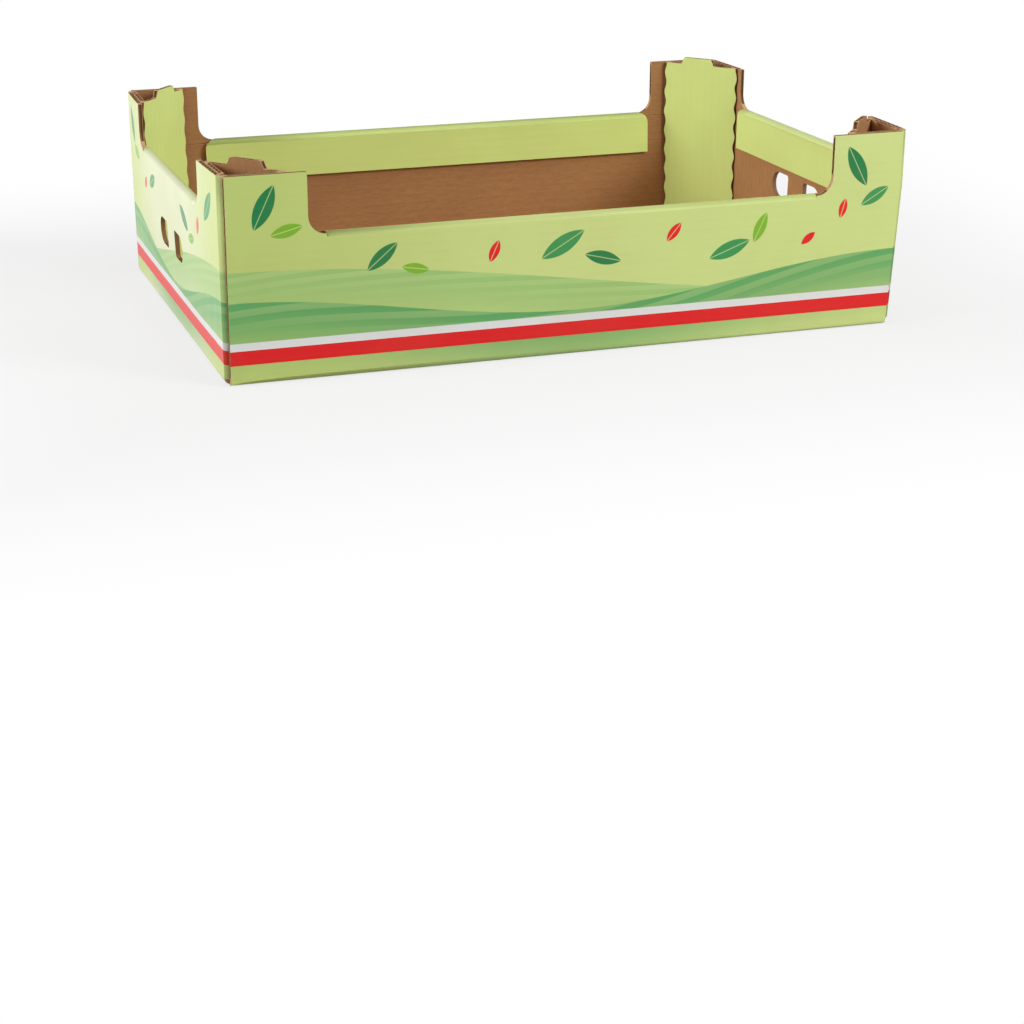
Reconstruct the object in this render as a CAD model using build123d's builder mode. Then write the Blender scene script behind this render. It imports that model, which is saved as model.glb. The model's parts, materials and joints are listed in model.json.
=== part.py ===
from build123d import *
from math import asin, degrees
import os

# Corner-post tray of corrugated board: one die-cut sheet, folded up and glued.
# Millimetres. +X along the tray, +Y across it, +Z up, origin at the middle of the underside.

# Overall size
tray_length = 600.0        # over the end walls
tray_width = 400.0         # over the long walls
post_height = 171.5        # top of the corner posts, without their stacking tabs

# Board and folds
board = 4.0                # one layer of corrugated board
fold_radius = 4.8          # outside of an ordinary right-angle fold
glue_film = 0.5            # between two layers that are glued together
foot_clearance = 1.0       # between a post's foot and the base
raw_edge_setback = 3.5     # from the end wall's face back to the long wall's raw edge

# Walls between the posts
long_wall_drop = 49.5      # from the top of the posts to the crown of the long wall's rolled hem
end_wall_drop = 36.5       # the same at the end wall
long_post_width = 68.0     # from the tray's end to the lowered part of the long wall
end_post_width = 72.0      # from the tray's side to the lowered part of the end wall
notch_radius = 15.0        # where the wall steps down from the post

# Rolled hems
hem_depth = 40.0           # from the crown to the hem's free edge
hem_gap = 0.8              # between the wall and the hem folded down inside it
hem_inset = 5.0            # the hem stops this far short of the post at each end

# Hand holes, two D shapes back to back in each end wall
hand_hole_height = 24.0
hand_hole_length = 32.5    # from the flat side to the round one
hand_hole_spacing = 31.0   # between the two flat sides
hand_hole_drop = 7.0       # below the hem's free edge
hand_hole_corner = 3.0

# Corner posts: the end wall's side flaps, folded round into a triangle
# whose diagonal panel closes the corner. Its two folds are wavy slits.
post_reach_along = 52.0    # from the tray's end to the slit on the long wall
post_reach_across = 63.0   # from the tray's side to the slit on the end wall
inner_flap_start = 14.0    # from the tray's side to the free edge of the innermost flap
wave_pitch = 20.0
wave_height = 1.0          # to each side of the slit's middle line

# Stacking tabs, and the slots that take those of the tray below
tab_height = 6.5
tab_foot_width = 34.5
tab_top_width = 28.5
tab_offset = 2.0           # from the middle of the diagonal towards the long wall
slot_clearance = 2.0       # round the tab's foot, on every side
slot_corner = 2.0
notch_clearance = 1.0      # above a tab that has come up through its slot

# Lines of glue in the posts
glue_line_width = 12.0
glue_line_margin = 15.0    # from the upper and lower edge of the flap

half_length = tray_length / 2
half_width = tray_width / 2
hem_radius = board + hem_gap / 2
layer = board + glue_film
post_foot = board + foot_clearance
long_panel_half = half_length - raw_edge_setback
end_panel_half = half_width - layer - fold_radius


def folded_wall(reach, panel_half, post_half, drop):
    """A wall at y = -reach: base fold, a post at each end and a rolled hem between them."""
    crown_height = post_height - drop
    step_half = post_half - notch_radius
    hem_half = post_half - hem_inset
    crown_centre = crown_height - hem_radius
    hem_edge = crown_height - hem_depth

    with BuildPart() as wall:
        # The sheet's outer face runs round the base fold and up, with the board inside it.
        with BuildSketch(Plane.YZ):
            with BuildLine():
                fold = JernArc((fold_radius - reach, 0), (-1, 0), fold_radius, -90)
                Line(fold @ 1, (-reach, post_height))
                offset(amount=board, side=Side.RIGHT)
            make_face()
        extrude(amount=panel_half, both=True)

        # Between the posts it is cut down, with a round step beside each post.
        with BuildSketch(Plane.XZ.offset(reach)):
            with BuildLine():
                Polyline((0, crown_centre), (step_half, crown_centre), (step_half, crown_height))
                step = JernArc((step_half, crown_height), (1, 0), notch_radius, 90)
                Polyline(step @ 1, (post_half, post_height), (0, post_height), (0, crown_centre))
            make_face()
            mirror(about=Plane.YZ)
        extrude(amount=-board, mode=Mode.SUBTRACT)

        # The outer half of the roll is as long as the hem's fold line.
        with BuildSketch(Plane.YZ):
            with BuildLine():
                JernArc((-reach, crown_centre), (0, 1), hem_radius, -90)
                offset(amount=board, side=Side.RIGHT)
            make_face()
        extrude(amount=step_half, both=True)

    with BuildPart() as hem:
        # The inner half of the roll runs down into the hem, which is longer than the fold line.
        with BuildSketch(Plane.YZ):
            with BuildLine():
                roll = JernArc((hem_radius - reach, crown_height), (1, 0), hem_radius, -90)
                Line(roll @ 1, (2 * hem_radius - reach, hem_edge))
                offset(amount=board, side=Side.RIGHT)
            make_face()
        extrude(amount=hem_half, both=True)
        with BuildSketch(Plane.XZ.offset(reach)) as outline:
            with Locations((0, (crown_height + hem_edge) / 2)):
                Rectangle(2 * hem_half, hem_depth)
            fillet(outline.vertices().group_by(Axis.Y)[-1], notch_radius - hem_inset)
        extrude(amount=-3 * hem_radius, mode=Mode.INTERSECT)

    with BuildPart() as whole:
        add(wall.part)
        add(hem.part)
    return whole.part


def slit_edge(x, side):
    """One edge of a wavy slit, drawn from the top of a post down to its foot.

    It starts wave_height away from x, to the right for side = -1, and ends on a crest too.
    """
    half_waves = round(2 * (post_height - post_foot) / wave_pitch)
    quarter = (post_height - post_foot) / half_waves / 2
    radius = (quarter**2 + wave_height**2) / (2 * wave_height)
    turn = degrees(asin(quarter / radius))
    top = JernArc((x - side * wave_height, post_height), (0, -1), radius, side * turn)
    bend = top
    for _ in range(half_waves - 1):
        side = -side
        bend = JernArc(bend @ 1, bend % 1, radius, 2 * side * turn)
    bottom = JernArc(bend @ 1, bend % 1, radius, -side * turn)
    return top @ 0, bottom @ 1


long_wall = folded_wall(half_width, long_panel_half, half_length - long_post_width, long_wall_drop)

# The end walls have the hand holes, below their hems.
with BuildPart() as end_wall:
    add(folded_wall(half_length, end_panel_half, half_width - end_post_width, end_wall_drop))
    hole_top = post_height - end_wall_drop - hem_depth - hand_hole_drop
    hole_radius = hand_hole_height / 2
    flat_side = hand_hole_spacing / 2
    round_side = flat_side + hand_hole_length - hole_radius
    with BuildSketch(Plane.XZ.offset(half_length)) as hand_holes:
        with BuildLine():
            round_end = JernArc((round_side, hole_top), (1, 0), hole_radius, -180)
            Polyline(
                round_end @ 1,
                (flat_side, hole_top - hand_hole_height),
                (flat_side, hole_top),
                round_end @ 0,
            )
        make_face()
        fillet(hand_holes.vertices().group_by(Axis.X)[0], hand_hole_corner)
        mirror(about=Plane.YZ)
    extrude(amount=-board, mode=Mode.SUBTRACT)

# The post of the corner at +X +Y
long_wall_slit = Vector(half_length - post_reach_along, half_width - layer - board / 2)
end_wall_slit = Vector(half_length - layer - board / 2, half_width - post_reach_across)
across = end_wall_slit - long_wall_slit
diagonal_width = across.length
tab_middle = diagonal_width / 2 - tab_offset
slot_half = tab_foot_width / 2 + slot_clearance

with BuildPart() as post:
    # The bend from the end wall into its side flap
    with BuildSketch(Plane.XY.offset(post_foot)):
        with BuildLine():
            JernArc((half_length, end_panel_half), (0, 1), fold_radius, 90)
            offset(amount=board, side=Side.LEFT)
        make_face()
    extrude(amount=post_height - post_foot)

    # Outer flap, glued to the inside of the long wall
    outer_flap = Plane(
        origin=(half_length, half_width - layer, 0), x_dir=(-1, 0, 0), z_dir=(0, 1, 0)
    )
    with BuildSketch(outer_flap):
        with BuildLine():
            top, bottom = slit_edge(post_reach_along, -1)
            Polyline(bottom, (fold_radius, post_foot), (fold_radius, post_height), top)
        make_face()
    extrude(amount=-board)

    # Diagonal panel, with the stacking tab on top and a notch over the slot at its foot
    with BuildSketch(Plane(origin=long_wall_slit, x_dir=across, z_dir=across.cross(Vector(0, 0, 1)))):
        with BuildLine():
            near_top, near_bottom = slit_edge(0, -1)
            far_top, far_bottom = slit_edge(diagonal_width, 1)
            Polyline(
                near_top,
                (tab_middle - tab_foot_width / 2, post_height),
                (tab_middle - tab_top_width / 2, post_height + tab_height),
                (tab_middle + tab_top_width / 2, post_height + tab_height),
                (tab_middle + tab_foot_width / 2, post_height),
                far_top,
            )
            Polyline(
                near_bottom,
                (tab_middle - slot_half, post_foot),
                (tab_middle - slot_half, tab_height + notch_clearance),
                (tab_middle + slot_half, tab_height + notch_clearance),
                (tab_middle + slot_half, post_foot),
                far_bottom,
            )
        make_face()
    extrude(amount=board / 2, both=True)

    # Inner flap, folded back into the post and glued to the end wall
    inner_flap = Plane(
        origin=(half_length - layer, half_width, 0), x_dir=(0, -1, 0), z_dir=(-1, 0, 0)
    )
    with BuildSketch(inner_flap):
        with BuildLine():
            top, bottom = slit_edge(post_reach_across, -1)
            Polyline(bottom, (inner_flap_start, post_foot), (inner_flap_start, post_height), top)
        make_face()
    extrude(amount=board)

    # A line of glue on the outer face of each flap
    glue_height = post_height - post_foot - 2 * glue_line_margin
    glue_middle = (post_height + post_foot) / 2
    with BuildSketch(outer_flap):
        with Locations(((fold_radius + post_reach_along) / 2, glue_middle)):
            Rectangle(glue_line_width, glue_height)
    extrude(amount=glue_film)
    with BuildSketch(inner_flap):
        with Locations(((inner_flap_start + post_reach_across) / 2, glue_middle)):
            Rectangle(glue_line_width, glue_height)
    extrude(amount=-glue_film)

    mirror(about=Plane.XZ)
    mirror(about=Plane.YZ)

# The tray: the base, a wall folded up on each side and a post in each corner
slot_turn = Vector(1, 0, 0).get_signed_angle(across, Vector(0, 0, 1))
with BuildPart() as tray:
    with BuildSketch():
        Rectangle(tray_length - 2 * fold_radius, tray_width - 2 * fold_radius)
    extrude(amount=board)
    add(long_wall)
    add(long_wall, rotation=(0, 0, 180))
    add(end_wall.part, rotation=(0, 0, 90))
    add(end_wall.part, rotation=(0, 0, -90))
    add(post.part)

    # A slot under each diagonal takes the tab of the tray below.
    with BuildSketch():
        with Locations(Location(long_wall_slit + across * (tab_middle / diagonal_width), slot_turn)):
            RectangleRounded(2 * slot_half, board + 2 * slot_clearance, slot_corner)
        mirror(about=Plane.XZ)
        mirror(about=Plane.YZ)
    extrude(amount=board, mode=Mode.SUBTRACT)

tray.part.label = "tray"
os.makedirs("parts", exist_ok=True)
export_step(tray.part, "parts/tray.step")
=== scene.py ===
import json
from math import cos, floor, pi, radians, sqrt

import bmesh
import bpy
from mathutils import Matrix, Vector

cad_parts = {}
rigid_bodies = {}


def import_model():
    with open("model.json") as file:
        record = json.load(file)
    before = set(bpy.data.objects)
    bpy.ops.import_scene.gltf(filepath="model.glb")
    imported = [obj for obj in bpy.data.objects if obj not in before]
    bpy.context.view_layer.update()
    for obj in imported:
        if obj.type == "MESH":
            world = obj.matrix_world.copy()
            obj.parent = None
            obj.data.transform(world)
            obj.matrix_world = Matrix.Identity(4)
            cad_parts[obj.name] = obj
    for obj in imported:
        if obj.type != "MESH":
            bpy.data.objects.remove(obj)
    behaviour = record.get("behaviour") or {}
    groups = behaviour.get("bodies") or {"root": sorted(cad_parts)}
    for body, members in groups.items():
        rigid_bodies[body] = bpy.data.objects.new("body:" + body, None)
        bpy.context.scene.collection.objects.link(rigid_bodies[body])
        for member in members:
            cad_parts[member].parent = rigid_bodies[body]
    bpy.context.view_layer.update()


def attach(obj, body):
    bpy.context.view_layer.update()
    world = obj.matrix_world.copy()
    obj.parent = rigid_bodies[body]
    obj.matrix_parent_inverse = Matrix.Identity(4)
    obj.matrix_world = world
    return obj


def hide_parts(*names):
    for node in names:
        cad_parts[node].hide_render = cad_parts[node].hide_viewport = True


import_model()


# ---- Base ----------------------------------------------------------------------------
# The bottom of the tray is the middle panel of one die-cut sheet of corrugated board: a
# fluted paper between two liners of brown kraft, of which the inner one stays bare. Under
# each corner post the base has a slot with rounded corners, for stacking.

length = 0.600
width = 0.400
board = 0.004                   # its thickness
fold_radius = 0.0048            # outside of an ordinary fold
flute_pitch = 0.0078
slit_on_long_wall = Vector((0.2480, 0.1935, 0.0))     # ends of a post's diagonal panel
slit_on_end_wall = Vector((0.2935, 0.1370, 0.0))
diagonal_run = slit_on_end_wall - slit_on_long_wall
diagonal_width = diagonal_run.length
diagonal_heading = (0.627, -0.779)                    # that run as a direction
tab_middle = diagonal_width / 2 - 0.002               # a little off the panel's middle
slot_half_length = 0.01925
slot_half_width = 0.004
slot_corner = 0.002
cutter_height = 0.02            # well over the thickness of the board

kraft_brown = (0.392, 0.192, 0.074)
kraft_edge = (0.480, 0.280, 0.140)
kraft_fleck = (0.181, 0.076, 0.027)
kraft_roughness, kraft_gloss, kraft_relief = 0.72, 0.35, 0.00006


class Wiring:
    """A tree of shader nodes, which are wired as they are asked for."""

    def __init__(self, tree):
        self.tree = tree

    def add(self, kind, *feeds, **settings):
        node = self.tree.nodes.new(kind)
        for name, value in settings.items():
            setattr(node, name, value)
        for socket, feed in zip(node.inputs, feeds):
            self.feed(socket, feed)
        return node

    def feed(self, socket, feed):
        if isinstance(feed, bpy.types.NodeSocket):
            self.tree.links.new(feed, socket)
        else:
            socket.default_value = feed

    def reckon(self, operation, *feeds):
        return self.add("ShaderNodeMath", *feeds, operation=operation).outputs[0]


class Paper(Wiring):
    """The material of a paper, with patterns that follow the place on the tray."""

    def __init__(self, name):
        self.material = bpy.data.materials.new(name)
        self.material.use_nodes = True
        super().__init__(self.material.node_tree)
        self.shader = self.tree.nodes["Principled BSDF"]
        self.coordinates = self.add("ShaderNodeTexCoord").outputs
        self.x, self.y, self.z = self.parts("Object")

    def parts(self, coordinate):
        """The X, Y and Z of Object, the place on the tray, or of Normal, where a face looks."""
        return self.add("ShaderNodeSeparateXYZ", self.coordinates[coordinate]).outputs

    def fade(self, value, low, high, to_low=0.0, to_high=1.0):
        """Runs smoothly from to_low to to_high while the value goes from low to high."""
        return self.add(
            "ShaderNodeMapRange", value, low, high, to_low, to_high,
            interpolation_type="SMOOTHSTEP",
        ).outputs[0]

    def lay(self, share, under, over):
        """One colour laid over another, as far as the share says."""
        node = self.add("ShaderNodeMix", data_type="RGBA")
        self.feed(node.inputs["Factor"], share)
        for name, feed in (("A", under), ("B", over)):
            socket = next(s for s in node.inputs if s.name == name and s.type == "RGBA")
            self.feed(socket, (*feed, 1.0) if isinstance(feed, tuple) else feed)
        return next(s for s in node.outputs if s.type == "RGBA")

    def noise(self, size, detail=2.0, stretch=(1, 1, 1)):
        """Cloudy noise, one blotch to each size in metres, drawn out where stretch is under 1."""
        mapping = self.add("ShaderNodeMapping", self.coordinates["Object"])
        mapping.inputs["Scale"].default_value = stretch
        node = self.add("ShaderNodeTexNoise", mapping.outputs[0])
        node.inputs["Scale"].default_value = 1 / size
        node.inputs["Detail"].default_value = detail
        return node.outputs["Fac"]

    def ribs(self, flutes):
        """The faint lines of the flutes behind a liner: along the tray, upright or diagonal."""
        if flutes == "along":
            across = self.reckon("ADD", self.z, self.y)
        elif flutes == "upright":
            across = self.reckon("ADD", self.x, self.y)
        else:
            out_x = self.reckon("ABSOLUTE", self.x)
            out_y = self.reckon("ABSOLUTE", self.y)
            across = self.reckon("MULTIPLY", out_x, diagonal_heading[0])
            across = self.reckon("MULTIPLY_ADD", out_y, diagonal_heading[1], across)
        return self.reckon("COSINE", self.reckon("MULTIPLY", across, 2 * pi / flute_pitch))

    def finish(self, colour, roughness, gloss, height, relief):
        self.feed(self.shader.inputs["Base Color"], colour)
        self.shader.inputs["Roughness"].default_value = roughness
        self.shader.inputs["Specular IOR Level"].default_value = gloss
        bump = self.add("ShaderNodeBump")
        bump.inputs["Distance"].default_value = relief
        self.feed(bump.inputs["Height"], height)
        self.feed(self.shader.inputs["Normal"], bump.outputs["Normal"])
        return self.material


def shade(colour, factor):
    return tuple(part * factor for part in colour)


def kraft(name, flutes, brown=kraft_brown):
    """Bare kraft: clouds, pale fibres, streaks along the flutes, dark flecks and faint ribs."""
    paper = Paper(name)
    cloud = paper.noise(0.05, 3.0)
    fibres = paper.noise(0.0009)
    flecks = paper.noise(0.0021, 1.0)
    streaks = paper.noise(0.0022, 2.0, (0.2, 1, 1) if flutes == "along" else (1, 1, 0.2))
    ribs = paper.ribs(flutes)
    tone = brown
    for pattern, low, high, most, ink in (
        (cloud, 0.3, 0.7, 0.5, shade(brown, 1.15)),
        (fibres, 0.5, 0.7, 0.35, shade(brown, 1.35)),
        (streaks, 0.4, 0.65, 0.22, shade(brown, 0.6)),
        (flecks, 0.68, 0.75, 0.3, kraft_fleck),
        (ribs, 0.0, 1.0, 0.07, shade(brown, 0.5)),
    ):
        tone = paper.lay(paper.fade(pattern, low, high, 0.0, most), tone, ink)
    height = paper.reckon("MULTIPLY_ADD", ribs, 0.4, fibres)
    return paper.finish(tone, kraft_roughness, kraft_gloss, height, kraft_relief)


def only(kind, items):
    return [item for item in items if isinstance(item, kind)]


def finished(name, bm, papers):
    """A piece from its mesh, with the papers in its material slots."""
    mesh = bpy.data.meshes.new(name)
    bm.to_mesh(mesh)
    bm.free()
    for paper in papers:
        mesh.materials.append(paper)
    piece = bpy.data.objects.new(name, mesh)
    bpy.context.scene.collection.objects.link(piece)
    return piece


def settle(piece):
    """Makes the modifiers of a piece part of its mesh."""
    graph = bpy.context.evaluated_depsgraph_get()
    mesh = bpy.data.meshes.new_from_object(piece.evaluated_get(graph))
    piece.modifiers.clear()
    piece.data = mesh


def combine(piece, tool, operation="DIFFERENCE"):
    """Cuts a closed mesh out of a piece, or joins it on with UNION."""
    tool_piece = finished("tool", tool, piece.data.materials)
    change = piece.modifiers.new("change", "BOOLEAN")
    change.operation = operation
    change.solver = "MANIFOLD"
    change.object = tool_piece
    settle(piece)
    bpy.data.objects.remove(tool_piece)


def raise_solid(bm, height, paper_slot):
    """Thickens the flat face in a mesh into a solid, upwards from where it lies."""
    made = bmesh.ops.extrude_face_region(bm, geom=bm.faces, use_keep_orig=True)["geom"]
    bmesh.ops.translate(bm, vec=(0, 0, height), verts=only(bmesh.types.BMVert, made))
    bmesh.ops.recalc_face_normals(bm, faces=bm.faces)
    for face in bm.faces:
        face.material_index = paper_slot


def round_corners(bm, verts, radius):
    bmesh.ops.bevel(
        bm, geom=verts, offset=radius, offset_type="OFFSET", affect="VERTICES",
        segments=8, profile=0.5, material=-1,
    )


kraft_along = kraft("kraft_flutes_along", "along")
cut_edge = kraft("cut_edge", "along", kraft_edge)

base = bmesh.new()
bmesh.ops.create_cube(base, size=1)
base_size = (length - 2 * fold_radius, width - 2 * fold_radius, board)
bmesh.ops.scale(base, vec=base_size, verts=base.verts)
bmesh.ops.translate(base, vec=(0, 0, board / 2), verts=base.verts)
base_panel = finished("base_panel", base, [kraft_along, cut_edge])

slot_middle = slit_on_long_wall + diagonal_run * (tab_middle / diagonal_width)
slot_turn = -Vector((1, 0)).angle_signed(diagonal_run.xy)
for side_x in (1, -1):
    for side_y in (1, -1):
        slot = bmesh.new()
        bmesh.ops.create_grid(slot, x_segments=1, y_segments=1, size=1)
        bmesh.ops.scale(slot, vec=(slot_half_length, slot_half_width, 1), verts=slot.verts)
        round_corners(slot, slot.verts, slot_corner)
        raise_solid(slot, cutter_height, 1)
        turned = Matrix.Rotation(slot_turn * side_x * side_y, 3, "Z")
        bmesh.ops.rotate(slot, cent=(0, 0, 0), matrix=turned, verts=slot.verts)
        place = (slot_middle.x * side_x, slot_middle.y * side_y, -cutter_height / 2)
        bmesh.ops.translate(slot, vec=place, verts=slot.verts)
        combine(base_panel, slot)

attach(base_panel, "root")
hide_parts("tray")


# ---- Long walls ----------------------------------------------------------------------
# The front and back walls fold up from the base, with their flutes along the tray. Between
# the corner posts they are cut down and rolled over inwards into a deep hem. Their outer
# liner is printed and varnished: green ground, low hills, a band round the foot, leaves.

post_top = 0.1715
long_half = 0.2965              # from the middle of the wall to its raw edge
long_post_half = 0.232          # and to the side of the post
long_crown = 0.122              # top of the roll
roll_radius = 0.0044            # its outer face
notch_radius = 0.015            # where the wall steps down from the post
notch_foot = 0.0015             # that step ends so far below the crown
hem_depth = 0.040               # from the crown to the hem's free edge
hem_step = 0.0004               # at the hem's second score line
ear_radius = 0.010              # round upper corners of the hem
hem_run = (                     # inwards and down, from the roll to the free edge
    (hem_step, 0.0006), (0, 0.0022), (0, 0.0028), (0, hem_depth - ear_radius)
)
liner = 0.00045                 # thickness of a liner at a cut across the flutes
rim_liner = 0.0005              # and at a cut along a flute, where the board is hollow
rim_slope, rim_depth = 0.0003, 0.0014
along_flutes = 0.7              # a rim that looks less than this along the flutes is hollow
half_fluting = 0.0002           # half the thickness of the fluted paper
well_share = 0.84               # of the flute pitch, for one hollow
well_depth = 0.004
well_proud = 0.0005             # a cutter stands out of the rim so far
raw_edge_foot, raw_edge_top = 0.006, 0.171
edge_margin = 0.001             # without flute ends, at the corners of the hem
crease_size = 0.0008
crease_run = (0.219, 0.290)     # along the wall
same_place = 0.00001            # anything closer is at the same place
rim_side, hollow = 2, 3         # material slots

kraft_shade = (0.240, 0.120, 0.050)
ground = (0.625, 0.725, 0.255)
ground_painted_lit = (0.675, 0.825, 0.262)
ground_painted_shade_left = (0.545, 0.655, 0.190)
ground_pale = (0.705, 0.800, 0.330)
darkening_ink = (0.080, 0.090, 0.030)
far_hill = (0.352, 0.578, 0.181)
near_hill = (0.115, 0.400, 0.122)
leaf_deep = (0.006, 0.215, 0.060)
leaf_mid = (0.040, 0.310, 0.085)
leaf_bright = (0.216, 0.479, 0.025)
ink_red = (0.790, 0.007, 0.011)
ink_white = (0.780, 0.785, 0.775)
ink_roughness, ink_gloss, ink_relief = 0.6, 0.15, 0.00004
varnish_roughness, varnish_ior = 0.42, 1.9
thin_varnish = 0.15

ink_spread = 0.0001             # softness of a printed edge
far_crest, far_rise, far_rows = 0.066, 0.028, 0.0085
near_crest, near_rise, near_rows = 0.054, 0.015, 0.0115
row_slant, row_strength = 0.10, 0.22
row_reach = 0.03                # the rows fade out so far below the crest
hill_reach = 0.07               # and the hill itself
white_band = (0.0290, 0.0355)
red_band = (0.0170, 0.0290)
vein, vein_strength = (0.0005, 0.0003), 0.6           # half its width, with a soft edge
plain_leaf = 8                  # half the length of a leaf too small for a vein
roll_painted_shade = 0.30

# Each leaf: its middle along the wall and up it, its turn in degrees, half its length
# and width in millimetres, and its ink.
long_wall_leaves = [
    (-265, 145, 64, 20, 7.4, leaf_deep), (-247, 125, 14, 14, 5.2, leaf_bright),
    (-168, 98, 40, 17, 6.0, leaf_deep), (-140, 86, -10, 12, 4.4, leaf_bright),
    (-72, 95, 66, 10, 4.2, ink_red), (-12, 96, 30, 22, 7.4, leaf_mid),
    (24, 82, -14, 17, 5.8, leaf_deep), (88, 99, 50, 10, 4.2, ink_red),
    (140, 80, 20, 20, 6.8, leaf_mid), (168, 97, 66, 14, 5.2, leaf_bright),
    (214, 84, 38, 8, 3.4, ink_red), (258, 144, 118, 20, 7.2, leaf_deep),
    (276, 117, 30, 15, 5.4, leaf_mid), (246, 108, 75, 9, 3.8, ink_red),
]


def print_hills(paper, backdrop, along, reach, fall):
    """Two low hills with rows of crops, which fall from left to right where fall is 1."""
    share = paper.reckon("MULTIPLY_ADD", along, pi / (2 * reach), pi / 2)
    slope = paper.reckon("COSINE", share)
    slope = paper.reckon("MULTIPLY_ADD", slope, far_rise * fall, far_crest)
    swell = paper.reckon("COSINE", paper.reckon("MULTIPLY", share, 2))
    swell = paper.reckon("MULTIPLY_ADD", swell, near_rise, near_crest)
    tone = backdrop
    for crest, ink, row_pitch in ((slope, far_hill, far_rows), (swell, near_hill, near_rows)):
        below = paper.reckon("SUBTRACT", crest, paper.z)
        hill = paper.lay(paper.fade(below, 0.0, hill_reach), ink, backdrop)
        row = paper.reckon("MULTIPLY_ADD", along, row_slant, below)
        row = paper.reckon("SINE", paper.reckon("MULTIPLY", row, 2 * pi / row_pitch))
        row = paper.fade(row, -0.1, 0.1, 0.0, row_strength)
        row = paper.reckon("MULTIPLY", row, paper.fade(below, row_reach, 0.0))
        hill = paper.lay(row, hill, ground_pale)
        tone = paper.lay(paper.fade(below, -ink_spread, ink_spread), tone, hill)
    return tone


def print_band(paper, tone, low, high, ink):
    above = paper.fade(paper.z, low - ink_spread, low + ink_spread)
    under = paper.fade(paper.z, high + ink_spread, high - ink_spread)
    return paper.lay(paper.reckon("MULTIPLY", above, under), tone, ink)


def print_leaf(paper, tone, flat, u, z, turn, half_long, half_wide, ink):
    """A leaf is where two equal circles overlap. All but the smallest have a pale vein."""
    radius = (half_long**2 + half_wide**2) / (2 * half_wide) / 1000
    leaf = paper.add("ShaderNodeMapping", flat, vector_type="TEXTURE")
    leaf.inputs["Location"].default_value = (u / 1000, z / 1000, 0)
    leaf.inputs["Rotation"].default_value = (0, 0, radians(turn))
    half = paper.add("ShaderNodeVectorMath", leaf.outputs[0], operation="ABSOLUTE").outputs[0]
    centre = (0, radius - half_wide / 1000, 0)
    arm = paper.add("ShaderNodeVectorMath", half, centre, operation="ADD").outputs[0]
    distance = paper.add("ShaderNodeVectorMath", arm, operation="LENGTH").outputs["Value"]
    shape = paper.fade(distance, radius + ink_spread, radius - ink_spread)
    tone = paper.lay(shape, tone, ink)
    if half_long > plain_leaf:
        off_vein = paper.add("ShaderNodeSeparateXYZ", half).outputs["Y"]
        share = paper.fade(off_vein, *vein, 0.0, vein_strength)
        share = paper.reckon("MULTIPLY", shape, share)
        tone = paper.lay(share, tone, ground_pale)
    return tone


def printed_wall(paper, backdrop, along, outwards, upwards, reach, fall, leaves):
    """The picture on the outer side of a wall that is twice reach long, and its plain hem, whose
    lighter ground is painted light.
    """
    tone = print_hills(paper, backdrop, along, reach, fall)
    tone = print_band(paper, tone, *white_band, ink_white)
    tone = print_band(paper, tone, *red_band, ink_red)
    flat = paper.add("ShaderNodeCombineXYZ", along, paper.z, 0.0).outputs[0]
    for leaf in leaves:
        tone = print_leaf(paper, tone, flat, *leaf)
    # Faces that look inwards get a lighter, greener ground: painted light for the extra light
    # inside the tray.
    tone = paper.lay(paper.fade(outwards, -0.1, 0.1), ground_painted_lit, tone)
    # On top of the roll, where the faces look upwards, the ink is darker: painted shade against
    # the light from above.
    return paper.lay(paper.fade(upwards, 0.05, 0.7, 0.0, roll_painted_shade), tone, darkening_ink)


def varnished(paper, tone, flutes, varnish):
    """Finishes a printed paper: the board shows faintly through the ink, under the varnish."""
    cloud = paper.noise(0.06, 3.0)
    fibres = paper.noise(0.0011)
    ribs = paper.ribs(flutes)
    tone = paper.lay(paper.fade(cloud, 0.35, 0.65, 0.0, 0.05), tone, kraft_brown)
    tone = paper.lay(paper.fade(ribs, 0.0, 1.0, 0.0, 0.018), tone, kraft_brown)
    paper.shader.inputs["Coat Weight"].default_value = varnish
    paper.shader.inputs["Coat Roughness"].default_value = varnish_roughness
    paper.shader.inputs["Coat IOR"].default_value = varnish_ior
    height = paper.reckon("MULTIPLY_ADD", ribs, 0.35, fibres)
    return paper.finish(tone, ink_roughness, ink_gloss, height, ink_relief)


def everything(bm):
    return bm.verts[:] + bm.edges[:] + bm.faces[:]


def edges_at(bm, test):
    return [edge for edge in bm.edges if all(test(vert.co) for vert in edge.verts)]


def curl(bm, edges, centre, axis, turn):
    """Bends a new strip of the sheet off an edge of it and returns the strip's far edge."""
    made = bmesh.ops.spin(bm, geom=edges, cent=centre, axis=axis, angle=turn, steps=8)
    return only(bmesh.types.BMEdge, made["geom_last"])


def run_on(bm, edges, step):
    """Carries the sheet straight on from an edge of it and returns the new edge."""
    made = bmesh.ops.extrude_edge_only(bm, edges=edges)["geom"]
    verts = only(bmesh.types.BMVert, made)
    bmesh.ops.translate(bm, vec=step, verts=verts)
    return [edge for edge in only(bmesh.types.BMEdge, made) if set(verts).issuperset(edge.verts)]


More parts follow.
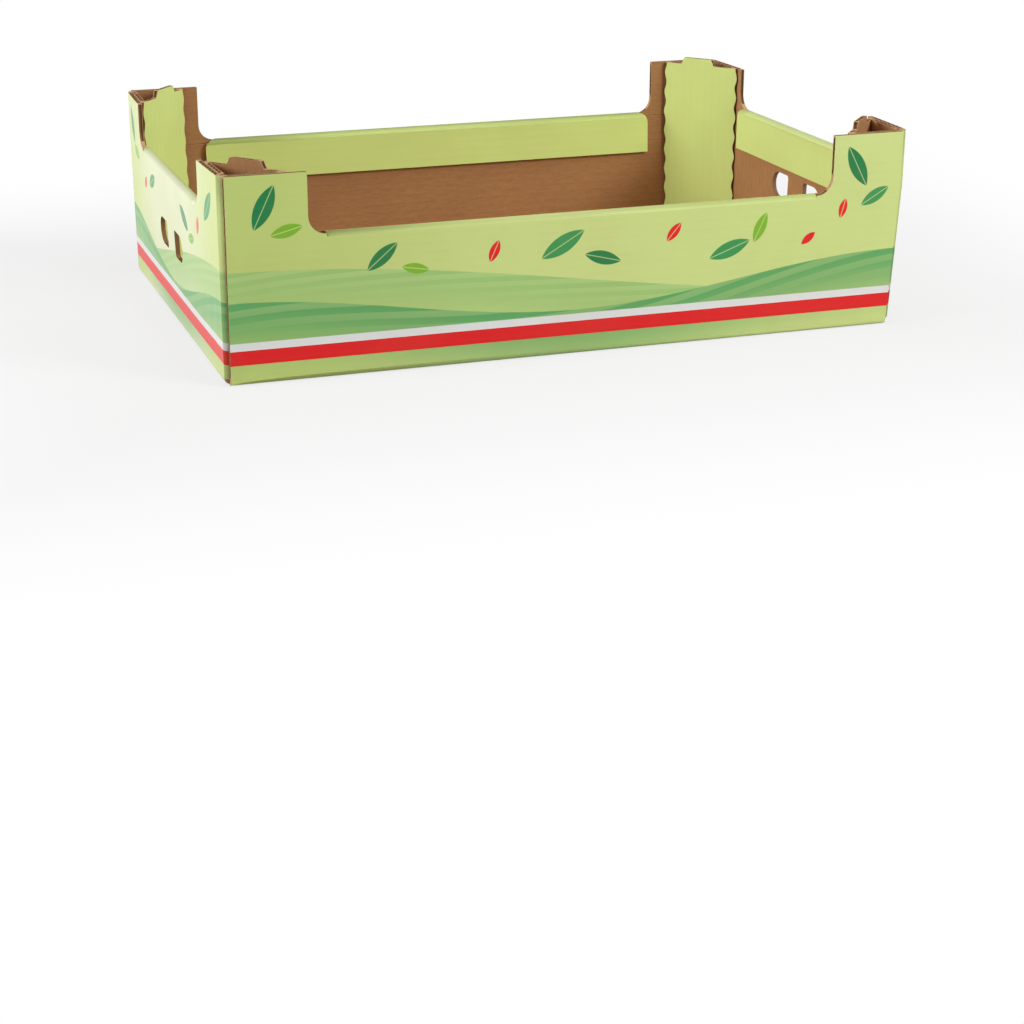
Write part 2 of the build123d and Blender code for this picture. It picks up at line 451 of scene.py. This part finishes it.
def wall_sheet(bm, reach, half, post_half, crown):
    """The outer face of a wall at y = -reach, from its base fold to the free edge of its hem."""
    roll_z = crown - roll_radius
    notch_z = crown - notch_foot
    step_half = post_half - notch_radius
    right = [(half, fold_radius), (half, post_top), (post_half, post_top)]
    right += [(post_half, notch_z), (step_half, notch_z), (step_half, roll_z)]
    outline = right + [(-x, z) for x, z in reversed(right)]
    verts = [bm.verts.new((x, -reach, z)) for x, z in outline]
    bm.faces.new(verts)
    round_corners(bm, [verts[3], verts[8]], notch_radius)
    bmesh.ops.remove_doubles(bm, verts=bm.verts, dist=same_place)

    foot = edges_at(bm, lambda co: abs(co.z - fold_radius) < same_place)
    curl(bm, foot, (0, fold_radius - reach, fold_radius), (1, 0, 0), pi / 2)
    rim = edges_at(bm, lambda co: abs(co.z - roll_z) < same_place)
    for _ in range(2):
        rim = curl(bm, rim, (0, roll_radius - reach, roll_z), (1, 0, 0), -pi / 2)
    # Below the roll the sheet steps in at the second score line, and runs down to its edge.
    for inwards, drop in hem_run:
        rim = run_on(bm, rim, (0, -inwards, -drop))

    # The hem is longer than its fold line and has round ears.
    for vert in bm.verts:
        if vert.co.y > roll_radius - reach + same_place and vert.co.z > crown / 2:
            rise = max(vert.co.z - (crown - ear_radius), 0)
            half_hem = step_half + sqrt(max(ear_radius**2 - rise**2, 0))
            vert.co.x = half_hem if vert.co.x > 0 else -half_hem


def face_outwards(bm):
    """Turns a sheet's printed side outwards and smooths its bends."""
    bmesh.ops.recalc_face_normals(bm, faces=bm.faces)
    wall = max(bm.faces, key=lambda face: face.calc_area())
    if wall.normal.y > 0:
        bmesh.ops.reverse_faces(bm, faces=bm.faces)
    for face in bm.faces:
        squarely = max(map(abs, face.normal)) >= 0.9999
        face.smooth = not squarely


def thicken(piece, rim=rim_side):
    """Gives a sheet the thickness of the board, on the side away from its print."""
    layer = piece.modifiers.new("board", "SOLIDIFY")
    layer.thickness = board
    layer.offset = -1
    layer.use_even_offset = True
    layer.use_quality_normals = True
    layer.material_offset = 1
    layer.material_offset_rim = rim
    settle(piece)


def open_rims(piece, axis):
    """Opens the rims that are cut along the flutes, which run along the axis."""
    bm = bmesh.new()
    bm.from_mesh(piece.data)
    rims = [
        face for face in bm.faces
        if face.material_index == rim_side and abs(face.normal[axis]) < along_flutes
        and face.calc_center_median().z > board
    ]
    bmesh.ops.inset_region(bm, faces=rims, thickness=rim_liner, depth=0, use_even_offset=True)
    made = bmesh.ops.inset_region(
        bm, faces=rims, thickness=rim_slope, depth=-rim_depth, use_even_offset=True
    )
    for face in rims + made["faces"]:
        face.material_index = hollow
    bm.to_mesh(piece.data)
    bm.free()


def flute_ends(bm, start, end, into, through=(0, 1, 0)):
    """Adds the cutters for the open flute ends on a rim of the board, from start to end."""
    start, end, into, through = Vector(start), Vector(end), Vector(into), Vector(through)
    along = (end - start).normalized()
    count = floor((end - start).length / flute_pitch)
    margin = ((end - start).length - count * flute_pitch) / 2
    at_liner = board / 2 - liner
    wells = bmesh.new()
    bmesh.ops.create_grid(wells, x_segments=8, y_segments=1, size=0.5)
    for vert in wells.verts:
        vert.co.x *= well_share * flute_pitch
        wave = cos(2 * pi * vert.co.x / flute_pitch)
        at_fluting = half_fluting - (at_liner - half_fluting) * wave
        vert.co.y = at_liner if vert.co.y > 0 else at_fluting
    raise_solid(wells, well_depth + well_proud, hollow)
    other = bmesh.ops.duplicate(wells, geom=everything(wells))["geom"]
    other = only(bmesh.types.BMVert, other)
    bmesh.ops.rotate(wells, cent=(0, 0, 0), matrix=Matrix.Rotation(pi, 3, "Z"), verts=other)
    bmesh.ops.translate(wells, vec=(flute_pitch / 2, 0, 0), verts=other)
    if count > 1:
        bmesh.ops.spin(
            wells, geom=everything(wells), cent=(0, 0, 0), axis=(0, 0, 1),
            dvec=(flute_pitch, 0, 0), angle=0, steps=count - 1, use_duplicate=True,
        )
    placing = Matrix((along, through, into)).transposed().to_4x4()
    placing.translation = start + along * (margin + flute_pitch / 4) - into * well_proud
    bmesh.ops.transform(wells, matrix=placing, verts=wells.verts)
    bmesh.ops.recalc_face_normals(wells, faces=wells.faces)
    mesh = bpy.data.meshes.new("wells")
    wells.to_mesh(mesh)
    wells.free()
    bm.from_mesh(mesh)
    bpy.data.meshes.remove(mesh)


def crease(bm, start, end):
    """Adds the cutter for the faint crease where a post is scored in line with the roll."""
    made = bmesh.ops.create_cube(bm, size=crease_size)["verts"]
    turned = Matrix.Rotation(pi / 4, 3, "X")
    bmesh.ops.rotate(bm, cent=(0, 0, 0), matrix=turned, verts=made)
    stretch = (end - start).length / crease_size
    bmesh.ops.scale(bm, vec=(stretch, 1, 1), verts=made)
    bmesh.ops.translate(bm, vec=(start + end) / 2, verts=made)
    for vert in made:
        for face in vert.link_faces:
            face.material_index = 1


# The hollow rims, flute ends and hand holes take a darker kraft: painted shade in these recesses.
open_flute_shade = kraft("open_flute_shade", "upright", kraft_shade)

paper = Paper("print_long_wall")
# Distance along the wall, to the right as it is seen from outside
along = paper.reckon("MULTIPLY", paper.reckon("SIGN", paper.y), -1)
along = paper.reckon("MULTIPLY", paper.x, along)
facing = paper.parts("Normal")
outwards = paper.reckon("MULTIPLY", facing["Y"], paper.y)
# The ground is a little darker towards the left end: painted shade, where the light falls off.
backdrop = paper.lay(paper.fade(along, -0.05, -0.27), ground, ground_painted_shade_left)
tone = printed_wall(
    paper, backdrop, along, outwards, facing["Z"], length / 2, 1, long_wall_leaves
)
print_long_wall = varnished(paper, tone, "along", thin_varnish)

for name, turn in (("front_wall", 0), ("back_wall", pi)):
    sheet = bmesh.new()
    wall_sheet(sheet, width / 2, long_half, long_post_half, long_crown)
    face_outwards(sheet)
    wall = finished(name, sheet, [print_long_wall, kraft_along, cut_edge, open_flute_shade])
    thicken(wall)
    open_rims(wall, 0)

    ends = bmesh.new()
    wall_y = (board - width) / 2
    hem_y = 2 * roll_radius - hem_step - (width + board) / 2
    crease_y = board - width / 2
    crease_z = long_crown - roll_radius
    notch_top = long_crown + notch_radius
    hem_top = long_crown - ear_radius - edge_margin
    hem_foot = long_crown - hem_depth + edge_margin
    for side in (1, -1):
        x = side * long_half
        flute_ends(ends, (x, wall_y, raw_edge_foot), (x, wall_y, raw_edge_top), (-side, 0, 0))
        x = side * long_post_half
        flute_ends(ends, (x, wall_y, notch_top), (x, wall_y, raw_edge_top), (side, 0, 0))
        x = side * (long_post_half - notch_radius + ear_radius)
        flute_ends(ends, (x, hem_y, hem_foot), (x, hem_y, hem_top), (-side, 0, 0))
        near, far = (Vector((side * x, crease_y, crease_z)) for x in crease_run)
        crease(ends, near, far)
    combine(wall, ends)
    wall.data.transform(Matrix.Rotation(turn, 4, "Z"))
    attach(wall, "root")
    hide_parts("tray")


# ---- End walls and corner posts ------------------------------------------------------
# Each end wall is folded up and rolled the same way, with upright flutes and two hand
# holes. Its side flaps go round the corners and fold back along wavy slits into triangular
# posts, glued to both walls. Each post's diagonal panel has a stacking tab on top.

end_half = 0.1907               # from the middle of the wall to the bend round the corner
end_post_half = 0.128           # and to the side of the post
end_crown = 0.135
post_foot = 0.005               # the posts clear the base
outer_flap = 0.0472             # from the bend to the slit on the long wall
inner_flap = 0.0475             # from near the slit on the end wall to its free edge
inner_flap_start = 0.1385
inner_flap_middle = 0.0065      # from the end wall's outer face to the middle of the flap
diagonal_reach = diagonal_width + 0.003               # the panel runs on behind its slit
outside, post_outside = 0, 4    # material slots
slit_wave = 0.001               # to each side of a slit's middle line
slit_half_waves = 17
slit_steps = 5                  # in each half wave
half_wave = (post_top - post_foot) / slit_half_waves
tab_top = 0.178
tab_top_half = 0.01425
tab_foot_half = 0.01725
notch_over_slot = 0.0075
hole_half_length = 0.01625
hole_half_height = 0.012
hole_corner = 0.003             # on the flat side; the other side is round
hole_middle_x = 0.03175
hole_middle_z = 0.076
hole_flat = (0.0185, 0.0365)    # straight part of the hole's upper and lower edge
end_crease_run = (0.115, 0.136)
full_varnish, worn_varnish = 1.0, 0.1
bend_darkening = 0.25

# Along the top edges of a post, with open flute ends
wall_top = (0.1295, 0.190)
outer_flap_top = (-0.2945, -0.2505)
inner_flap_top = (0.1400, 0.1850)
diagonal_tops = ((0.003, 0.0169, post_top), (0.0202, 0.0484, tab_top), (0.0516, 0.0695, post_top))

ground_painted_glare = (0.755, 0.800, 0.500)
end_wall_leaves = [
    (-166, 146, 118, 19, 7.0, leaf_deep), (-148, 124, 165, 14, 5.0, leaf_bright),
    (-108, 104, 40, 9, 3.8, ink_red), (-74, 112, 24, 16, 5.6, leaf_mid),
    (66, 110, 150, 17, 6.0, leaf_deep), (92, 98, 12, 12, 4.4, leaf_bright),
    (122, 116, 70, 9, 3.8, ink_red), (160, 140, 48, 19, 6.8, leaf_mid),
]

paper = Paper("print_end_wall")
along = paper.reckon("MULTIPLY", paper.y, paper.reckon("SIGN", paper.x))
facing = paper.parts("Normal")
outwards = paper.reckon("MULTIPLY", facing["X"], paper.x)
# The ground is paler and whiter towards the middle: painted reflection of the white surroundings.
from_middle = paper.reckon("ABSOLUTE", paper.y)
backdrop = paper.lay(paper.fade(from_middle, 0.19, 0.06), ground, ground_painted_glare)
tone = printed_wall(
    paper, backdrop, along, outwards, facing["Z"], width / 2, -1, end_wall_leaves
)
# Where the board bends round the corner, the print is darker, with little varnish.
bend = paper.fade(from_middle, width / 2 - 0.0115, width / 2 - 0.0095)
tone = paper.lay(paper.reckon("MULTIPLY", bend, bend_darkening), tone, darkening_ink)
varnish = paper.fade(bend, 0.0, 1.0, full_varnish, worn_varnish)
paper.feed(paper.shader.inputs["Coat Weight"], varnish)
print_end_wall = varnished(paper, tone, "upright", full_varnish)
# The diagonal panels look inwards and get the same lighter ground: painted light.
print_diagonal = varnished(Paper("print_diagonal"), ground_painted_lit, "diagonal", thin_varnish)
kraft_upright = kraft("kraft_flutes_upright", "upright")
kraft_diagonal = kraft("kraft_flutes_on_diagonal", "diagonal")
end_wall_papers = [
    print_end_wall, kraft_upright, cut_edge, open_flute_shade, print_diagonal, kraft_diagonal
]


def wavy(bm, edge, outwards):
    """Cuts an upright edge of a post's panel to the wavy line of its slit."""
    line = edge.verts[0].co.xy.copy()
    bmesh.ops.subdivide_edges(bm, edges=[edge], cuts=slit_half_waves * slit_steps - 1)
    for vert in bm.verts:
        if (vert.co.xy - line).length < same_place:
            wave = cos(pi * (post_top - vert.co.z) / half_wave)
            vert.co += Vector(outwards) * slit_wave * wave


def post_panel(name, start, run, facing, outline, slits, paper_slot):
    """A panel of a post. Its outline is drawn on the upright plane from start along run."""
    bm = bmesh.new()
    along = run.normalized()
    face = bm.faces.new([bm.verts.new(start + along * s + Vector((0, 0, z))) for s, z in outline])
    face.material_index = paper_slot
    for s, side in slits:
        line = start + along * s
        rim = edges_at(bm, lambda co: (co.xy - line.xy).length < same_place)
        wavy(bm, rim[0], along * side)
    bm.normal_update()
    if face.normal.dot(facing) < 0:
        bmesh.ops.reverse_faces(bm, faces=bm.faces)
    panel = finished(name, bm, end_wall_papers)
    thicken(panel, rim_side - paper_slot)
    if paper_slot == post_outside:
        open_rims(panel, 2)
    return panel


def hand_hole(side):
    """The cutter for a hand hole, a D that lies on its side."""
    hole = bmesh.new()
    bmesh.ops.create_grid(hole, x_segments=1, y_segments=1, size=1)
    bmesh.ops.scale(hole, vec=(hole_half_length, hole_half_height, 1), verts=hole.verts)
    round_corners(hole, [vert for vert in hole.verts if vert.co.x < 0], hole_corner)
    round_corners(hole, [vert for vert in hole.verts if vert.co.x > 0], hole_half_height)
    bmesh.ops.remove_doubles(hole, verts=hole.verts, dist=same_place)
    raise_solid(hole, cutter_height, hollow)
    turned = Matrix.Rotation(pi / 2, 3, "X")
    bmesh.ops.rotate(hole, cent=(0, 0, 0), matrix=turned, verts=hole.verts)
    bmesh.ops.scale(hole, vec=(side, 1, 1), verts=hole.verts)
    place = (side * hole_middle_x, cutter_height / 2 - length / 2, hole_middle_z)
    bmesh.ops.translate(hole, vec=place, verts=hole.verts)
    bmesh.ops.recalc_face_normals(hole, faces=hole.faces)
    return hole


notch_near, notch_far = tab_middle - slot_half_length, tab_middle + slot_half_length
diagonal_outline = [
    (0, post_foot), (notch_near, post_foot), (notch_near, notch_over_slot),
    (notch_far, notch_over_slot), (notch_far, post_foot), (diagonal_reach, post_foot),
    (diagonal_reach, post_top), (tab_middle + tab_foot_half, post_top),
    (tab_middle + tab_top_half, tab_top), (tab_middle - tab_top_half, tab_top),
    (tab_middle - tab_foot_half, post_top), (0, post_top),
]
flap_outline = [(0, post_foot), (inner_flap, post_foot), (inner_flap, post_top), (0, post_top)]
down = Vector((0, 0, -1))

for name, turn in (("right_end_wall", pi / 2), ("left_end_wall", -pi / 2)):
    outer_y = -length / 2
    sheet = bmesh.new()
    wall_sheet(sheet, length / 2, end_half, end_post_half, end_crown)
    for side in (1, -1):
        x = side * end_half
        rim = edges_at(
            sheet, lambda co: abs(co.x - x) < same_place and abs(co.y - outer_y) < same_place
        )
        rim = curl(sheet, rim, (x, outer_y + fold_radius, 0), (0, 0, 1), side * pi / 2)
        rim = run_on(sheet, rim, (0, outer_flap, 0))
        wavy(sheet, rim[0], (0, 1, 0))
    for vert in sheet.verts:
        if abs(vert.co.x) > end_half + same_place and vert.co.z < post_foot + 0.001:
            vert.co.z = post_foot
    face_outwards(sheet)
    wall = finished(name, sheet, end_wall_papers)
    thicken(wall)
    open_rims(wall, 2)
    for side in (1, -1):
        combine(wall, hand_hole(side))

    ends = bmesh.new()
    wall_y = (board - length) / 2
    hem_y = 2 * roll_radius - hem_step - (length + board) / 2
    hem_x = end_post_half - notch_radius + ear_radius - edge_margin
    hem_foot = end_crown - hem_depth
    flap_y = inner_flap_middle - length / 2
    crease_y = board - length / 2
    crease_z = end_crown - roll_radius
    flute_ends(ends, (-hem_x, hem_y, hem_foot), (hem_x, hem_y, hem_foot), -down)
    for side in (1, -1):
        near, far = (Vector((side * x, crease_y, crease_z)) for x in end_crease_run)
        crease(ends, near, far)
        start = Vector((slit_on_long_wall.y * side, -slit_on_long_wall.x, 0))
        run = Vector((diagonal_run.y * side, -diagonal_run.x, 0))
        along = run.normalized()
        through = Vector((along.y * side, -along.x * side, 0))
        diagonal = post_panel(
            "diagonal", start + through * board / 2, run, through, diagonal_outline,
            ((0, 1), (diagonal_reach, -1)), post_outside,
        )
        flap = post_panel(
            "inner_flap", Vector((side * inner_flap_start, flap_y - board / 2, 0)),
            Vector((side, 0, 0)), Vector((0, -1, 0)), flap_outline, ((0, -1),), outside,
        )
        for panel in (diagonal, flap):
            tool = bmesh.new()
            tool.from_mesh(panel.data)
            combine(wall, tool, "UNION")
            bpy.data.objects.remove(panel)

        near, far = (Vector((side * x, wall_y, post_top)) for x in wall_top)
        flute_ends(ends, near, far, down)
        near, far = (Vector((side * slit_on_long_wall.y, y, post_top)) for y in outer_flap_top)
        flute_ends(ends, near, far, down, (1, 0, 0))
        near, far = (Vector((side * x, flap_y, post_top)) for x in inner_flap_top)
        flute_ends(ends, near, far, down)
        for near, far, z in diagonal_tops:
            top = Vector((0, 0, z))
            near, far = start + along * near + top, start + along * far + top
            flute_ends(ends, near, far, down, through)
        for rise, into in ((hole_half_height, -down), (-hole_half_height, down)):
            near, far = (Vector((side * x, wall_y, hole_middle_z + rise)) for x in hole_flat)
            flute_ends(ends, near, far, into)
    combine(wall, ends)
    wall.data.transform(Matrix.Rotation(turn, 4, "Z"))
    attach(wall, "root")
    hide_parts("tray")


# ---- Glue ----------------------------------------------------------------------------
# An upright line of dried glue holds each post's outer flap to the long wall and its
# inner flap to the end wall.

glue_width = 0.012
glue_film = 0.0005
glue_height = 0.1365
glue_middle_z = 0.08825
glue_on_long_wall = ((0.2716, 0.19575), (glue_width, glue_film))      # middle and size
glue_on_end_wall = ((0.29575, 0.1615), (glue_film, glue_width))

glue = bmesh.new()
for side_x in (1, -1):
    for side_y in (1, -1):
        for middle, size in (glue_on_long_wall, glue_on_end_wall):
            verts = bmesh.ops.create_cube(glue, size=1)["verts"]
            bmesh.ops.scale(glue, vec=(*size, glue_height), verts=verts)
            place = (middle[0] * side_x, middle[1] * side_y, glue_middle_z)
            bmesh.ops.translate(glue, vec=place, verts=verts)
glue_lines = finished("glue_lines", glue, [cut_edge])
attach(glue_lines, "root")
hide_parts("tray")


# ---- Set of the walls ----------------------------------------------------------------
# Board folded by hand springs back a little. The end walls bow outwards and the top of the
# tray is racked against its base, most of all at the right end, where the long walls stop
# a little short of the corner.

lean_height = 0.117             # of the leaning part, above the base fold
lean_from, lean_over = 0.225, 0.070       # along the tray, where the ends start to move
bow = 0.0038                    # at the middle of an end wall
rack = 0.0032                   # at the long walls
left_rack = 0.0027              # taken back at the left end
right_back_rack = 0.0018        # added at the right end
right_front_rack = 0.0032
long_wall_trim = 0.0025
trim_from = 0.290
cut_height = 0.122              # cuts across the flat walls, so that they bend there
cut_spacing = 0.025


def lean(co):
    """How far a point of the tray is moved along X."""
    rise = min(max((co.z - fold_radius) / lean_height, 0), 1)
    end = min(max((abs(co.x) - lean_from) / lean_over, 0), 1)
    end = end * end * (3 - 2 * end)
    across = co.y / (width / 2)
    bowed = bow * (1 - across**4)
    racked = -rack * across
    if co.x < 0:
        return rise * (racked + end * (left_rack * across - bowed))
    right_rack = right_back_rack if across > 0 else right_front_rack
    return rise * (racked + end * (bowed - right_rack * across))


for piece in list(bpy.context.scene.objects):
    if piece.type == "MESH" and piece.name.endswith(("_wall", "glue_lines")):
        bm = bmesh.new()
        bm.from_mesh(piece.data)
        cuts = [((0, 0, cut_height), (0, 0, 1))]
        if "end_wall" in piece.name:
            cuts += [((0, cut_spacing * step, 0), (0, 1, 0)) for step in range(-7, 8)]
        for point, normal in cuts:
            bmesh.ops.bisect_plane(
                bm, geom=everything(bm), dist=0.000001, plane_co=point, plane_no=normal
            )
        for vert in bm.verts:
            if piece.name in ("front_wall", "back_wall") and vert.co.x > trim_from:
                vert.co.x -= long_wall_trim
            vert.co.x += lean(vert.co)
        bm.to_mesh(piece.data)
        bm.free()


# ---- Studio --------------------------------------------------------------------------
# A white floor that fades into the white background, a large lamp on the left, one in
# front on the right and a weak one above. The white surroundings are mirrored on the left
# only. The camera looks over the front left corner.

floor_half = 6.0
floor_gap = 0.0001              # the tray stands clear of the floor by this
floor_grey = (0.55, 0.55, 0.55, 1)
ambient = 0.24                  # strength of the surroundings as a light

sweep = bmesh.new()
bmesh.ops.create_grid(sweep, x_segments=1, y_segments=1, size=floor_half)
bmesh.ops.translate(sweep, vec=(0, 0, -floor_gap), verts=sweep.verts)
floor_piece = finished("floor", sweep, [])
white = Paper("studio_floor")
white.shader.inputs["Base Color"].default_value = floor_grey
white.shader.inputs["Roughness"].default_value = 0.9
glow = white.add("ShaderNodeEmission").outputs[0]
beside = white.reckon("SUBTRACT", white.reckon("ABSOLUTE", white.x), length / 2)
before = white.reckon("SUBTRACT", white.reckon("ABSOLUTE", white.y), width / 2)
away = white.reckon("MAXIMUM", beside, before)
rays = white.add("ShaderNodeLightPath").outputs
on_left = white.fade(white.x, -0.2, -0.5)
mirrored = white.reckon("MULTIPLY", rays["Is Glossy Ray"], on_left)
seen = white.reckon("MAXIMUM", rays["Is Camera Ray"], mirrored)
near_glow = white.fade(away, -0.02, 0.0, 0.0, 0.74)
far_glow = white.fade(away, 0.04, 0.45, 0.0, 0.26)
share = white.reckon("MULTIPLY", seen, white.reckon("ADD", near_glow, far_glow))
blend = white.add("ShaderNodeMixShader", share, white.shader.outputs[0], glow)
white.feed(white.tree.nodes["Material Output"].inputs["Surface"], blend.outputs[0])
floor_piece.data.materials.append(white.material)

world = bpy.data.worlds.new("studio")
bpy.context.scene.world = world
world.use_nodes = True
sky = Wiring(world.node_tree)
background = sky.tree.nodes["Background"]
background.inputs["Color"].default_value = (1, 1, 1, 1)
rays = sky.add("ShaderNodeLightPath").outputs
direction = sky.add("ShaderNodeTexCoord").outputs["Generated"]
to_right = sky.add("ShaderNodeSeparateXYZ", direction).outputs["X"]
on_left = sky.add("ShaderNodeMapRange", to_right, 0.1, -0.2).outputs[0]
mirrored = sky.reckon("MULTIPLY", rays["Is Glossy Ray"], on_left)
seen = sky.reckon("MAXIMUM", rays["Is Camera Ray"], mirrored)
strength = sky.add("ShaderNodeMapRange", seen, 0.0, 1.0, ambient, 1.0).outputs[0]
sky.feed(background.inputs["Strength"], strength)

# Each lamp: its place, where it points, the side of its square and its power in watts.
lamps = [
    ("left_lamp", (-5.0, 0.0, 1.8), (-0.3, 0.0, 0.08), 2.4, 200),
    ("front_lamp", (2.0, -2.1, 1.7), (0.05, 0.0, 0.08), 1.0, 67),
    ("top_lamp", (0.2, -0.2, 2.6), (0.0, 0.0, 0.08), 1.6, 24),
]
for name, place, target, size, power in lamps:
    lamp = bpy.data.lights.new(name, "AREA")
    lamp.shape = "SQUARE"
    lamp.size = size
    lamp.energy = power
    lamp_piece = bpy.data.objects.new(name, lamp)
    lamp_piece.location = place
    aim = Vector(target) - Vector(place)
    lamp_piece.rotation_euler = aim.to_track_quat("-Z", "Y").to_euler()
    bpy.context.scene.collection.objects.link(lamp_piece)

# The camera was fitted to the corners of the tray. Its turn is an axis times an angle, and
# the tray's place is as the camera sees it: to the right, down and forwards.
sensor = 36
picture_size = 1024
focal_length = 2263.0           # in pixels of the picture
camera_turn = Vector((1.91234655, -0.31909875, 0.22618744))
tray_place = Vector((-0.01207564, -0.20118622, 2.096657))
camera = bpy.data.cameras.new("camera")
camera.sensor_width = sensor
camera.lens = focal_length / picture_size * sensor
camera_piece = bpy.data.objects.new("camera", camera)
to_world = Matrix.Rotation(camera_turn.length, 3, camera_turn.normalized()).transposed()
camera_piece.matrix_world = Matrix.LocRotScale(
    to_world @ -tray_place, (to_world @ Matrix.Diagonal((1, -1, -1))).to_quaternion(), None
)
bpy.context.scene.collection.objects.link(camera_piece)
bpy.context.scene.camera = camera_piece
bpy.context.scene.view_settings.view_transform = "Standard"
